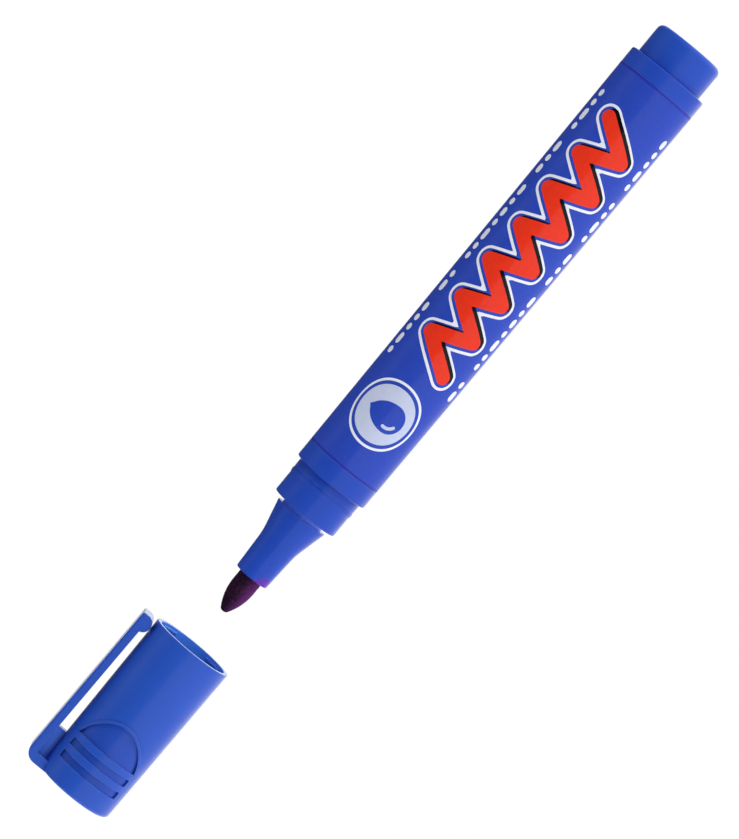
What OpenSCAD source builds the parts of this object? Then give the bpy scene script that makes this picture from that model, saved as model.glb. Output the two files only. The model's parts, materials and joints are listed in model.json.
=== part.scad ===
// Capped marker with a bullet nib, lying along X with its cap pulled off in line ahead of the nib.
// Positions along the pen are counted from the front collar's face, where the cap stops: rear is +X.
// Positions along the cap are counted from its mouth. Millimetres, clip up, floor at Z = 0.

/* [Barrel] */
// Length from the front collar's face to the rear end
barrel_len = 97.8; // [80:0.1:120]
// Diameter at the front collar's face
barrel_front_d = 15.8; // [15:0.1:18]
// Diameter at the rear end
barrel_rear_d = 16.8; // [16:0.1:19]
// Wall of the barrel and of its spigot
barrel_wall = 1; // [0.8:0.05:1.4]
// Length of the bare collar at the front
front_collar_len = 4; // [3:0.1:8]
// Length of the bare collar at the rear
rear_collar_len = 3.5; // [2.5:0.1:8]
// Rounding of the collars' outer edges
collar_edge_r = 0.35; // [0.1:0.05:0.6]
// Ribs inside the barrel that centre the reservoir
barrel_ribs = 6; // [3:1:8]
// Width of one centring rib
barrel_rib_w = 0.8; // [0.5:0.1:1.5]
// Height of a centring rib at the front of the bore
barrel_rib_h = 0.3; // [0.2:0.05:0.6]
// Thickness of the inner ledge that carries the nib holder and stops the reservoir
ledge_t = 1.2; // [0.8:0.1:2]
// Width of the ring of that ledge behind the nib holder
ledge_w = 0.6; // [0.4:0.1:0.9]

/* [Spigot] */
// Step from the front collar down to the spigot
spigot_step = 0.95; // [0.8:0.05:1.3]
// Length of the spigot that the cap covers
spigot_len = 7.6; // [6:0.1:10]
// Height of the snap bead
bead_h = 0.17; // [0.1:0.01:0.25]
// Width of the snap bead
bead_w = 1.5; // [1:0.1:2]
// Middle of the snap bead in front of the collar's face
bead_from_face = 2.5; // [2:0.1:3.5]
// Height of the land between the bead and the collar
land_h = 0.1; // [0.02:0.02:0.1]
// Rounding of the spigot's front edge
spigot_edge_r = 0.3; // [0.1:0.05:0.5]

/* [Label] */
// Thickness of the printed sleeve
label_t = 0.12; // [0.08:0.01:0.2]
// Open groove between the sleeve and each collar
label_gap = 0.25; // [0.1:0.05:0.5]

/* [Nib] */
// Diameter of the fibre nib
nib_d = 4.85; // [4:0.05:5.4]
// Length of nib that stands out of the holder
nib_out = 8.25; // [7:0.05:11]
// Length of the rounded bullet
bullet_len = 6; // [4:0.1:6.5]
// Radius of the blunt end that the bullet narrows to
bullet_end_r = 0.6; // [0.5:0.05:1]
// Rounding of the nib's point
point_r = 0.75; // [0.4:0.05:0.8]
// Length of nib pressed into the reservoir
nib_in_reservoir = 6; // [4:0.5:10]

/* [Nib holder] */
// Length of the nose from its front to its rim
nose_len = 14.5; // [12:0.1:18]
// Length of the slim front of the nose
nose_slim_len = 8.15; // [6:0.05:9]
// Wall round the nib at the front of the nose
nose_wall = 1.06; // [0.8:0.02:1.4]
// How much thicker the slim part is at its rear
nose_draft = 0.42; // [0.1:0.02:0.5]
// Radius of the hollow bend between the slim part and the flare
nose_bend_r = 14; // [4:1:20]
// Rounding of the nose's front edge
nose_edge_r = 0.3; // [0.1:0.05:0.5]
// Diameter of the sharp rim that the cap's seal closes on
rim_d = 10.9; // [10:0.05:11]
// Thickness of that rim at its edge
rim_t = 0.25; // [0.15:0.05:0.4]
// Gap between the rim and the spigot's front face
neck_gap = 1.05; // [0.8:0.05:1.6]
// How far the neck in that gap lies inside the rim
neck_depth = 0.95; // [0.6:0.05:1.2]
// Wall of the holder's tube and shank behind the rim
holder_wall = 0.9; // [0.7:0.05:1.1]
// Air grooves along the holder's bore
air_grooves = 4; // [2:1:6]
// Width and depth of one air groove
air_groove_w = 0.5; // [0.3:0.05:0.6]

/* [Reservoir] */
// Thickness of the film round the fibre rod
film_t = 0.1; // [0.05:0.01:0.2]
// Space between the rod's rear end and the plug's skirt
reservoir_setback = 3; // [1:0.5:8]

/* [Rear plug] */
// Length of the tail that stands out of the barrel
tail_len = 6.7; // [5:0.1:10]
// Step from the plug's skirt down to the tail
tail_step = 0.25; // [0.2:0.05:0.5]
// Rounding of the tail's end
tail_edge_r = 1.25; // [0.6:0.05:1.6]
// Length of the skirt pressed into the barrel
skirt_len = 9; // [6:0.5:14]
// Wall of the plug
plug_wall = 1.2; // [1:0.05:1.6]
// Ledge in the barrel that stops the skirt
skirt_ledge = 0.3; // [0.2:0.05:0.4]
// Height of the skirt's snap ring
snap_ring_h = 0.12; // [0.06:0.01:0.2]
// Width of the skirt's snap ring
snap_ring_w = 1.2; // [0.8:0.1:2]
// Thickness of the cross ribs that hold the reservoir forward
stop_rib_t = 1; // [0.8:0.1:1.4]

/* [Cap] */
// Wall of the cap
cap_wall = 0.9; // [0.7:0.05:1.2]
// Space between the spigot and the cap's bore
cap_spigot_gap = 0.5; // [0.35:0.05:0.7]
// How much smaller the closed end's radius is than the mouth's
cap_draft = 0.34; // [0.1:0.02:0.5]
// Thickness of the closed end and of the clip's flange
cap_end_t = 1.9; // [1.2:0.1:2.4]
// Rounding of the closed end's edge
cap_edge_r = 0.9; // [0.4:0.1:1.1]
// Rounding of the mouth's edges
mouth_edge_r = 0.15; // [0.05:0.05:0.25]
// Free space between the nib and the seal's bottom
nib_room = 1; // [0.5:0.1:3]
// Snap lugs inside the mouth
snap_lugs = 4; // [3:1:6]
// Width of a snap lug along the cap
lug_w = 0.9; // [0.6:0.1:1.1]
// Distance of the lugs from the mouth
lug_from_mouth = 0.4; // [0.3:0.05:0.6]
// Share of the circle that one lug covers, in degrees
lug_angle = 32; // [16:2:50]
// Wall and bottom of the inner seal
seal_wall = 0.9; // [0.7:0.05:1]
// Length of the seal's close-fitting lip
lip_len = 2.4; // [1.5:0.1:4]
// Step from the lip out to the seal's bore
lip_step = 0.1; // [0.05:0.05:0.2]
// Ribs inside the cap that hold the seal
cap_ribs = 6; // [3:1:8]
// Width of one of those ribs
cap_rib_w = 1; // [0.6:0.1:1.6]
// Least height of those ribs, at the closed end
cap_rib_h = 0.3; // [0.2:0.05:0.5]

/* [Clip] */
// Width of the clip
clip_w = 7; // [5:0.1:8]
// Thickness of the clip's arm
clip_t = 1.65; // [1.2:0.05:2]
// Slot between the arm and the cap at the root
clip_root_gap = 1.85; // [1.4:0.05:2.6]
// Slot between the arm and the cap at the tip
clip_tip_gap = 1.33; // [1:0.05:2]
// Rounding of the clip's outer corner at the closed end
clip_root_r = 2.3; // [1:0.1:2.5]
// Rounding of the arm's long outer edges
clip_edge_r = 0.4; // [0.2:0.05:0.6]
// Distance of the clip's tip from the mouth
clip_short = 0.3; // [0.1:0.1:3]
// Distance from the closed end to the start of the slot
web_len = 8; // [5:0.1:12]
// Thickness of the web under the clip's root
web_w = 2.2; // [2:0.1:4]
// Radius of the grip bump under the tip
bump_r = 1.74; // [1.5:0.02:2]
// Space between the bump and the cap
bump_gap = 0.1; // [0.05:0.05:0.3]

/* [Thumb grip] */
// Depth of the bars and of the domed panel
grip_depth = 0.35; // [0.2:0.05:0.45]
// Height of the bars across the cap
grip_h = 13; // [9:0.1:14]
// Number of bars
grip_bars = 2; // [1:1:2]
// Width of one bar
grip_bar_w = 1.55; // [1:0.05:1.8]
// Spacing of the bars and the panel
grip_pitch = 2.95; // [2.4:0.05:3.4]
// Distance from the closed end to the first bar
grip_from_end = 4.4; // [3.5:0.1:7]
// Length of the domed panel along the cap
grip_dome_len = 6.5; // [4.5:0.1:7]
// Radius of the panel's two curved sides
grip_dome_r = 8.5; // [8:0.1:14]
// How far the panel's tip, where its sides meet, is cut back to a round
grip_dome_blunt = 0.3; // [0.05:0.05:0.6]
// Width of the raised edge round the panel
grip_lip_w = 0.5; // [0.3:0.05:0.8]
// Height of the raised edge round the panel
grip_lip_h = 0.12; // [0.05:0.01:0.2]

/* [Fits] */
// Radial clearance of pieces pressed into one another
press_clear = 0.02; // [0.01:0.01:0.05]
// Radial clearance of the cap's seal and lugs as the cap slides
slide_clear = 0.06; // [0.03:0.01:0.1]
// Space left between the cap and the collar when the cap is on
seat_clear = 0.05; // [0.02:0.01:0.2]

/* [Pose] */
// How far the cap is pulled off
cap_off = 40.2; // [34:0.1:80]

/* [Hidden] */
$fn = 96;
arc_steps = 6;

barrel_front_r = barrel_front_d / 2;
barrel_rear_r = barrel_rear_d / 2;
label_seat = label_t + press_clear;
rear_collar_x = barrel_len - rear_collar_len;

spigot_r = barrel_front_r - spigot_step;
spigot_bore_r = spigot_r - barrel_wall;
ledge_r = spigot_bore_r - ledge_w;
ledge_front_x = barrel_wall;
ledge_back_x = ledge_front_x + ledge_t;

bore_front_r = barrel_r(ledge_back_x) - barrel_wall;
skirt_bore_r = barrel_rear_r - barrel_wall;
skirt_x = barrel_len - skirt_len;
bore_rear_r = skirt_bore_r - skirt_ledge;
snap_ring_x = skirt_x + skirt_len / 2;

nib_r = nib_d / 2;
rim_r = rim_d / 2;
neck_r = rim_r - neck_depth;
rim_x = -spigot_len - neck_gap;
nose_x = rim_x - nose_len;
nib_x = nose_x - nib_out;
nose_front_r = nib_r + nose_wall;
holder_bore_r = nib_r + press_clear;
holder_tube_r = holder_bore_r + holder_wall;
shank_r = spigot_bore_r - press_clear;

film_r = min(bore_front_r, bore_rear_r) - barrel_rib_h;
reservoir_x = ledge_back_x;
reservoir_end_x = skirt_x - reservoir_setback;
nib_end_x = reservoir_x + nib_in_reservoir;

skirt_r = skirt_bore_r - press_clear;
plug_bore_r = skirt_r - plug_wall;
tail_r = skirt_bore_r - tail_step;
tail_x = barrel_len + tail_len;

lip_r = rim_r + slide_clear;
seal_bore_r = lip_r + lip_step;
seal_r = seal_bore_r + seal_wall;
cap_bore_r = max(spigot_r + cap_spigot_gap, seal_r + cap_rib_h + cap_draft);
cap_mouth_r = cap_bore_r + cap_wall;
cap_end_r = cap_mouth_r - cap_draft;
seal_mouth_x = -spigot_len - 2 * seat_clear;
seal_bottom_x = nib_x - nib_room;
cap_floor_x = seal_bottom_x - seal_wall;
cap_len = cap_end_t - cap_floor_x;
lug_r = spigot_r + max(bead_h, land_h) + slide_clear;

slot_x = web_len - cap_len;
clip_tip_x = -clip_short;
bump_x = clip_tip_x - bump_r;

axis_z = max(barrel_rear_r, cap_mouth_r);
middle_x = (tail_x - cap_off - cap_len) / 2;

// Radius of the barrel's taper at a place along it
function barrel_r(x) = barrel_front_r + (barrel_rear_r - barrel_front_r) * x / barrel_len;

// Radius of the barrel's inner taper at a place along it
function bore_r(x) = bore_front_r + (bore_rear_r - bore_front_r) * (x - ledge_back_x) / (skirt_x - ledge_back_x);

// Radius of the cap's outer taper at a place along it
function cap_r(x) = cap_mouth_r + cap_draft * x / cap_len;

// Height of a round surface of radius r above its axis, at a distance to one side
function height_at(r, side) = sqrt(r * r - side * side);

// Height of the arm's inner face above the cap's axis
function arm_z(x) = let(root = cap_r(slot_x) + clip_root_gap, tip = cap_r(clip_tip_x) + clip_tip_gap)
    root + (tip - root) * (x - slot_x) / (clip_tip_x - slot_x);

function unit(v) = v / norm(v);

// The corner p between a and b, rounded to radius r
function corner(a, p, b, r) =
    let(u = unit(a - p), v = unit(b - p), half = acos(u * v) / 2)
    let(middle = p + unit(u + v) * r / sin(half), sweep = 180 - 2 * half)
    let(from = p + u * r / tan(half) - middle, to = p + v * r / tan(half) - middle)
    [for (i = [0 : arc_steps]) let(t = i / arc_steps * sweep)
        middle + (from * sin(sweep - t) + to * sin(t)) / sin(sweep)];

// A closed outline from corner points [a, b] or [a, b, radius]
function outline(points) = let(n = len(points)) [for (i = [0 : n - 1])
    let(p = points[i], a = points[(i + n - 1) % n], b = points[(i + 1) % n])
    each len(p) < 3 ? [p] : corner([a[0], a[1]], [p[0], p[1]], [b[0], b[1]], p[2])];

// A low round swelling of height h on radius r, from one place to another
function swelling(r, h, x1, x2) = [for (i = [0 : 2 * arc_steps]) let(t = i / arc_steps - 1)
    [r + h * (1 - t * t), x1 + (x2 - x1) * (t + 1) / 2]];

// The bullet's narrowing from its blunt end out to the nib's full radius, as one arc
function bullet() = let(drop = nib_r - bullet_end_r, big = (bullet_len * bullet_len + drop * drop) / (2 * drop))
    [for (i = [1 : 2 * arc_steps]) let(d = bullet_len * i / (2 * arc_steps), left = bullet_len - d)
        [nib_r - big + sqrt(big * big - left * left), nib_x + d]];

// Turns an outline of [radius, place] points about the pen's axis
module turned(points) {
    rotate([0, 90, 0])
        rotate_extrude()
            polygon(points);
}

// Copies spread evenly round the pen's axis
module spread(count, first = 0) {
    for (i = [0 : count - 1])
        rotate([first + 360 * i / count, 0, 0])
            children();
}

// A straight rib along the axis, from one radius out to another
module rib(x1, x2, r1, r2, width) {
    translate([x1, -width / 2, r1])
        cube([x2 - x1, width, r2 - r1]);
}

// A flat outline in the cap's middle plane, given width to both sides
module sideways(width) {
    rotate([90, 0, 0])
        linear_extrude(height = width, center = true)
            children();
}

// Places pen pieces in the part's frame
module on_pen() {
    translate([-middle_x, 0, axis_z])
        children();
}

// Places cap pieces in the part's frame, with the cap pulled off
module on_cap() {
    on_pen()
        translate([-cap_off, 0, 0])
            children();
}

module barrel() {
    spigot = concat(
        [[spigot_r, -spigot_len, spigot_edge_r]],
        swelling(spigot_r, bead_h, -bead_from_face - bead_w / 2, -bead_from_face + bead_w / 2),
        [[spigot_r + land_h, -bead_from_face + bead_w / 2], [spigot_r + land_h, 0]]);
    outside = [
        [barrel_front_r, 0, collar_edge_r],
        [barrel_r(front_collar_len), front_collar_len],
        [barrel_r(front_collar_len) - label_seat, front_collar_len],
        [barrel_r(rear_collar_x) - label_seat, rear_collar_x],
        [barrel_r(rear_collar_x), rear_collar_x],
        [barrel_rear_r, barrel_len, collar_edge_r]];
    ring = swelling(skirt_bore_r, snap_ring_h, snap_ring_x + snap_ring_w / 2, snap_ring_x - snap_ring_w / 2);
    inside = concat(
        [[skirt_bore_r, barrel_len]],
        ring,
        [[skirt_bore_r, skirt_x],
         [bore_rear_r, skirt_x],
         [bore_front_r, ledge_back_x],
         [ledge_r, ledge_back_x],
         [ledge_r, ledge_front_x],
         [spigot_bore_r, ledge_front_x],
         [spigot_bore_r, -spigot_len]]);
    color("royalblue") on_pen() {
        turned(outline(concat(spigot, outside, inside)));
        spread(barrel_ribs)
            sideways(barrel_rib_w)
                polygon([
                    [ledge_back_x, film_r + press_clear],
                    [reservoir_end_x, film_r + press_clear],
                    [reservoir_end_x, bore_r(reservoir_end_x) + barrel_wall / 2],
                    [ledge_back_x, bore_front_r + barrel_wall / 2]]);
    }
}

module label_sleeve() {
    x1 = front_collar_len + label_gap;
    x2 = rear_collar_x - label_gap;
    color("mediumblue") on_pen()
        turned([
            [barrel_r(x1) - label_t, x1],
            [barrel_r(x1), x1],
            [barrel_r(x2), x2],
            [barrel_r(x2) - label_t, x2]]);
}

module nib_holder() {
    core_x = -spigot_len + 2 * holder_wall;
    color("royalblue") on_pen() difference() {
        turned(outline([
            [holder_bore_r, nose_x],
            [nose_front_r, nose_x, nose_edge_r],
            [nose_front_r + nose_draft, nose_x + nose_slim_len, nose_bend_r],
            [rim_r, rim_x],
            [rim_r, rim_x + rim_t],
            [neck_r, rim_x + rim_t],
            [neck_r, -spigot_len],
            [shank_r, -spigot_len],
            [shank_r, ledge_front_x],
            [shank_r - holder_wall, ledge_front_x],
            [shank_r - holder_wall, core_x],
            [holder_tube_r, core_x],
            [holder_tube_r, ledge_back_x],
            [holder_bore_r, ledge_back_x]]));
        spread(air_grooves, 180 / air_grooves)
            rib(nose_x - 1, ledge_back_x + 1, 0, holder_bore_r + air_groove_w, air_groove_w);
    }
}

module nib() {
    color("indigo") on_pen()
        turned(outline(concat(
            [[0, nib_x], [bullet_end_r, nib_x, point_r]],
            bullet(),
            [[nib_r, nib_end_x], [0, nib_end_x]])));
}

module ink_reservoir() {
    rod_r = film_r - film_t - press_clear;
    color("slateblue") on_pen()
        turned([
            [nib_r + press_clear, reservoir_x],
            [rod_r, reservoir_x],
            [rod_r, reservoir_end_x],
            [0, reservoir_end_x],
            [0, nib_end_x],
            [nib_r + press_clear, nib_end_x]]);
}

module reservoir_film() {
    color("lightsteelblue") on_pen()
        turned([
            [film_r - film_t, reservoir_x],
            [film_r, reservoir_x],
            [film_r, reservoir_end_x],
            [film_r - film_t, reservoir_end_x]]);
}

module rear_plug() {
    floor_x = tail_x - plug_wall;
    stop_r = max(film_r, plug_bore_r + plug_wall / 4);
    ring = swelling(skirt_r, snap_ring_h, snap_ring_x - snap_ring_w / 2, snap_ring_x + snap_ring_w / 2);
    color("royalblue") on_pen() {
        turned(outline(concat(
            [[plug_bore_r, skirt_x], [skirt_r, skirt_x]],
            ring,
            [[skirt_r, barrel_len],
             [tail_r, barrel_len],
             [tail_r, tail_x, tail_edge_r],
             [0, tail_x],
             [0, floor_x],
             [plug_bore_r, floor_x]])));
        for (turn = [0, 90])
            rotate([turn, 0, 0])
                translate([reservoir_end_x, -stop_rib_t / 2, -stop_r])
                    cube([floor_x + plug_wall / 2 - reservoir_end_x, stop_rib_t, 2 * stop_r]);
    }
}

// The cap's cup with its bore, open at the mouth
module cap_cup() {
    turned(outline([
        [0, -cap_len],
        [cap_end_r, -cap_len, cap_edge_r],
        [cap_mouth_r, 0, mouth_edge_r],
        [cap_bore_r, 0, mouth_edge_r],
        [cap_r(cap_floor_x) - cap_wall, cap_floor_x],
        [0, cap_floor_x]]));
}

// The clip's flange and arm in the cap's middle plane, with the grip bump under the tip
module clip_outline() {
    flange_x = cap_end_t - cap_len;
    root_z = height_at(cap_end_r - cap_edge_r, clip_w / 2) - cap_edge_r;
    polygon(outline([
        [-cap_len, root_z],
        [-cap_len, arm_z(-cap_len) + clip_t, clip_root_r],
        [clip_tip_x, arm_z(clip_tip_x) + clip_t, clip_edge_r],
        [clip_tip_x, arm_z(clip_tip_x)],
        [flange_x, arm_z(flange_x), clip_edge_r],
        [flange_x, root_z]]));
    intersection() {
        translate([bump_x, cap_r(bump_x) + bump_gap + bump_r])
            circle(bump_r);
        translate([bump_x - bump_r, 0])
            square([2 * bump_r, arm_z(bump_x) + clip_t / 2]);
    }
}

// The space that the clip's section fills, with its long outer edges rounded
module clip_section() {
    slope = atan2(arm_z(clip_tip_x) - arm_z(-cap_len), clip_tip_x + cap_len);
    top = clip_t;
    translate([-cap_len, 0, arm_z(-cap_len)])
        rotate([0, -slope, 0])
            translate([-cap_len, 0, 0])
                rotate([90, 0, 90])
                    linear_extrude(height = 3 * cap_len)
                        polygon(outline([
                            [-clip_w / 2, top, clip_edge_r],
                            [clip_w / 2, top, clip_edge_r],
                            [clip_w / 2, -cap_mouth_r],
                            [-clip_w / 2, -cap_mouth_r]]));
}

module clip() {
    intersection() {
        sideways(2 * clip_w)
            clip_outline();
        clip_section();
    }
    web_z = height_at(cap_end_r, web_w / 2) - cap_wall / 2;
    sideways(web_w)
        polygon([
            [cap_end_t / 2 - cap_len, web_z],
            [cap_end_t / 2 - cap_len, arm_z(-cap_len) + clip_t / 2],
            [slot_x, arm_z(slot_x) + clip_t / 2],
            [slot_x, web_z]]);
}

// Outline of the domed panel seen from the side, grown by an edge
module grip_dome(grow = 0) {
    half = grip_h / 2;
    chord = norm([grip_dome_len, half]);
    back = sqrt(grip_dome_r * grip_dome_r - chord * chord / 4) / chord;
    middle = [grip_dome_len / 2 - half * back, half / 2 - grip_dome_len * back];
    intersection() {
        translate(middle)
            circle(grip_dome_r + grow);
        translate([middle[0], -middle[1]])
            circle(grip_dome_r + grow);
        translate([grip_dome_len - grip_dome_blunt - half, 0])
            circle(half + grow);
        translate([grow / 3, -grip_h])
            square([2 * grip_h, 2 * grip_h]);
    }
}

// The bars and the panel seen from the side, from the closed end towards the mouth
module grip_outline() {
    for (i = [0 : grip_bars - 1])
        translate([grip_from_end + i * grip_pitch - cap_len, -grip_h / 2])
            square([grip_bar_w, grip_h]);
    translate([grip_dome_x(), 0])
        grip_dome();
}

function grip_dome_x() = grip_from_end + grip_bars * grip_pitch - cap_len;

// A layer of the cap's wall, from one distance outside its surface to another
module cap_layer(low, high) {
    turned([
        [cap_end_r + low, -cap_len],
        [cap_end_r + high, -cap_len],
        [cap_mouth_r + high, 0],
        [cap_mouth_r + low, 0]]);
}

// The thumb grip's recesses, on both flanks of the cap
module grip_recess() {
    intersection() {
        sideways(4 * cap_mouth_r)
            grip_outline();
        cap_layer(-grip_depth, 1);
    }
}

// The raised edge round the panel, on both flanks of the cap
module grip_lip() {
    intersection() {
        sideways(4 * cap_mouth_r)
            translate([grip_dome_x(), 0])
                grip_dome(grip_lip_w);
        cap_layer(-cap_wall / 2, grip_lip_h);
    }
}

// Short lugs inside the mouth that snap behind the spigot's bead
module lugs() {
    x2 = -lug_from_mouth;
    x1 = x2 - lug_w;
    spread(snap_lugs, 180 / snap_lugs - lug_angle / 2)
        rotate([0, 90, 0])
            rotate_extrude(angle = lug_angle)
                polygon([
                    [cap_bore_r + cap_wall / 2, x1],
                    [cap_bore_r + cap_wall / 2, x2],
                    [lug_r, x2 - lug_w / 3],
                    [lug_r, x1 + lug_w / 3]]);
}

module cap_shell() {
    color("royalblue") on_cap() {
        difference() {
            union() {
                cap_cup();
                grip_lip();
            }
            grip_recess();
        }
        clip();
        lugs();
        spread(cap_ribs)
            rib(cap_floor_x, seal_mouth_x - lip_len, seal_r + press_clear, cap_end_r - cap_wall / 2, cap_rib_w);
    }
}

module cap_seal() {
    lip_x = seal_mouth_x - lip_len;
    color("royalblue") on_cap()
        turned(outline([
            [0, cap_floor_x],
            [seal_r, cap_floor_x, seal_wall / 2],
            [seal_r, seal_mouth_x, seal_wall / 3],
            [lip_r, seal_mouth_x, seal_wall / 3],
            [lip_r, lip_x],
            [seal_bore_r, lip_x - lip_step],
            [seal_bore_r, seal_bottom_x],
            [0, seal_bottom_x]]));
}

barrel();
label_sleeve();
nib_holder();
nib();
ink_reservoir();
reservoir_film();
rear_plug();
cap_shell();
cap_seal();
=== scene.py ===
"""Looks of a bullet-nib marker pen with its cap pulled off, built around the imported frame.

The moulded pieces keep their meshes from the frame and get finishes made from nodes. The print on the sleeve
and the cut edges of its film are thin closed meshes that follow its taper. Sizes are in millimetres until a point
is placed, and the frame and the studio are in metres.
"""

import json
import logging
import math
from abc import ABC, abstractmethod
from collections.abc import Iterator, Sequence
from dataclasses import dataclass, field, replace
from enum import Enum
from typing import ClassVar

import bpy
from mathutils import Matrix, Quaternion, Vector


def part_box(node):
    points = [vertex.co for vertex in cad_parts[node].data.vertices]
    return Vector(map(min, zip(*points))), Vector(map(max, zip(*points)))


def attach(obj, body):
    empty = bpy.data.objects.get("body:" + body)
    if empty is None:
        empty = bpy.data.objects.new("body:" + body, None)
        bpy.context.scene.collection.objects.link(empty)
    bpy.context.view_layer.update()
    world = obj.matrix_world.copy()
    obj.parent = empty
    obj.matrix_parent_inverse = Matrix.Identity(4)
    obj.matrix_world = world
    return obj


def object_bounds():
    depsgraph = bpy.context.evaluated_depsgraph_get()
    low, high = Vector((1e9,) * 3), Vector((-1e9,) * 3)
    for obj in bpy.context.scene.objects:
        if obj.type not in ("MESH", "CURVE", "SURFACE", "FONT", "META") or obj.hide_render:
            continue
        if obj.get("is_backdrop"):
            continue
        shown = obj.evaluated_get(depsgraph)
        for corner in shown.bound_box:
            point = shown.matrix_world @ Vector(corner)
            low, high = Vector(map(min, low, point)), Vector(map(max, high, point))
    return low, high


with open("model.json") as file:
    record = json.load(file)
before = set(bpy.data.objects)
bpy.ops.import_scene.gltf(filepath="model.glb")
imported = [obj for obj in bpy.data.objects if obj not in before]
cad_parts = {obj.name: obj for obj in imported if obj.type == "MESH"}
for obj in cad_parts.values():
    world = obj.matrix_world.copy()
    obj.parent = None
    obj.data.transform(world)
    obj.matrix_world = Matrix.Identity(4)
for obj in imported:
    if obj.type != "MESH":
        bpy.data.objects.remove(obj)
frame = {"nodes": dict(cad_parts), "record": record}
CAD_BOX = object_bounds()
LOG = logging.getLogger("marker")

Span = tuple[float, float]
Flat = tuple[float, float]
Dot = tuple[float, float, float]
Place = tuple[float, float, float]
Tree = bpy.types.NodeTree
Node = bpy.types.Node
Socket = bpy.types.NodeSocket
Material = bpy.types.Material

MM = 0.001
WHITE = "#FFFFFF"
SHARP_ANGLE = math.radians(40)
RISING: Span = (0.0, 1.0)
FALLING: Span = (1.0, 0.0)
MOST_NOISE: Span = (0.3, 0.7)


class Body(Enum):
    """The body that the added pieces ride on."""

    PEN = "pen"


class Layer(Enum):
    """How far each pass of ink stands above the sleeve, in millimetres, so that later passes cover earlier ones."""

    GROUND = 0.008
    INSET = 0.014
    SHADE = 0.020
    COLOUR = 0.026
    DETAIL = 0.032


class Octaves(Enum):
    """How broken up a noise pattern is."""

    SMOOTH = 1.0
    SOFT = 2.0
    FINE = 3.0
    RAGGED = 4.0


def linear(colour: str) -> tuple[float, float, float, float]:
    """Turns an sRGB hex colour into linear red, green, blue and alpha, by the standard's curve.

    Args:
        colour: Six hex digits with a leading #.

    Returns:
        The four linear values.
    """
    parts = [int(colour[i : i + 2], 16) / 255 for i in (1, 3, 5)]
    red, green, blue = (c / 12.92 if c <= 0.04045 else ((c + 0.055) / 1.055) ** 2.4 for c in parts)
    return red, green, blue, 1.0


def add(tree: Tree, kind: str, inputs: dict[str | int, object] | None = None, **settings: object) -> Node:
    """Adds one node with its settings, input values and links.

    Args:
        tree: Node tree that gets the node.
        kind: Blender's name of the node type.
        inputs: Value or linked output for each input, by name or number.
        **settings: Properties of the node itself.

    Returns:
        The new node.
    """
    node = tree.nodes.new(kind)
    for name, value in settings.items():
        setattr(node, name, value)
    for key, value in (inputs or {}).items():
        if isinstance(value, Socket):
            tree.links.new(value, node.inputs[key])
        else:
            node.inputs[key].default_value = value
    return node


def per_metre(size_mm: float) -> float:
    """Texture scale whose features are about as large as a size in millimetres."""
    return 1.0 / (size_mm * MM)


def position(tree: Tree) -> Socket:
    """Position on the piece, in metres."""
    return add(tree, "ShaderNodeTexCoord").outputs["Object"]


def drawn_out(tree: Tree, place: Socket, by: float) -> Socket:
    """Position that draws a pattern out along the piece."""
    return add(tree, "ShaderNodeMapping", {"Vector": place, "Scale": (1 / by, 1.0, 1.0)}).outputs["Vector"]


def noise(tree: Tree, place: Socket, size_mm: float, octaves: Octaves, **more: float) -> Socket:
    """Adds a noise pattern.

    Args:
        tree: Node tree that gets the node.
        place: Position that the pattern follows.
        size_mm: About how large its features are.
        octaves: How broken up it is.
        **more: Values of the node's other inputs.

    Returns:
        The pattern, from 0 to 1.
    """
    inputs = {"Vector": place, "Scale": per_metre(size_mm), "Detail": octaves.value, **more}
    return add(tree, "ShaderNodeTexNoise", inputs).outputs["Fac"]


def ramp(tree: Tree, value: Socket, over: Span, to: Span = RISING, **settings: object) -> Socket:
    """Maps a value from one span to another and holds it at the ends.

    Args:
        tree: Node tree that gets the node.
        value: The value.
        over: Values at which the result is first and last.
        to: First and last result.
        **settings: Properties of the node itself.

    Returns:
        The result.
    """
    inputs = {"Value": value, 1: over[0], 2: over[1], 3: to[0], 4: to[1]}
    return add(tree, "ShaderNodeMapRange", inputs, **settings).outputs["Result"]


def combine(tree: Tree, how: str, one: Socket | float, other: Socket | float) -> Socket:
    """Puts two values together by an operation that Blender names."""
    return add(tree, "ShaderNodeMath", {0: one, 1: other}, operation=how).outputs[0]


def blend(tree: Tree, share: Socket, first: Socket | str, second: str) -> Socket:
    """Mixes two colours.

    Args:
        tree: Node tree that gets the node.
        share: Share of the second colour.
        first: First colour, linked or as hex.
        second: Second colour, as hex.

    Returns:
        The mixed colour.
    """
    start = linear(first) if isinstance(first, str) else first
    return add(tree, "ShaderNodeMix", {0: share, 6: start, 7: linear(second)}, data_type="RGBA").outputs[2]


def relief(tree: Tree, height: Socket, depth_mm: float, strength: float, **more: Socket) -> Socket:
    """Tilts a surface as if a pattern stood out of it.

    Args:
        tree: Node tree that gets the node.
        height: The pattern.
        depth_mm: How far it stands out.
        strength: How much of the tilt shows.
        **more: The node's other inputs.

    Returns:
        The tilted normal.
    """
    inputs = {"Strength": strength, "Distance": depth_mm * MM, "Height": height, **more}
    return add(tree, "ShaderNodeBump", inputs).outputs["Normal"]


@dataclass(frozen=True)
class Finish(ABC):
    """One finish, as the maker would name it."""

    name: str

    def material(self) -> Material:
        """Makes the Blender material.

        Returns:
            A new material with its nodes in place.
        """
        made = bpy.data.materials.new(self.name)
        made.use_nodes = True
        tree = made.node_tree
        tree.nodes.clear()
        output = tree.nodes.new("ShaderNodeOutputMaterial")
        tree.links.new(self.surface(tree), output.inputs["Surface"])
        return made

    @abstractmethod
    def surface(self, tree: Tree) -> Socket:
        """Adds the finish's nodes.

        Args:
            tree: Node tree of the material.

        Returns:
            The shader output.
        """


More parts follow.
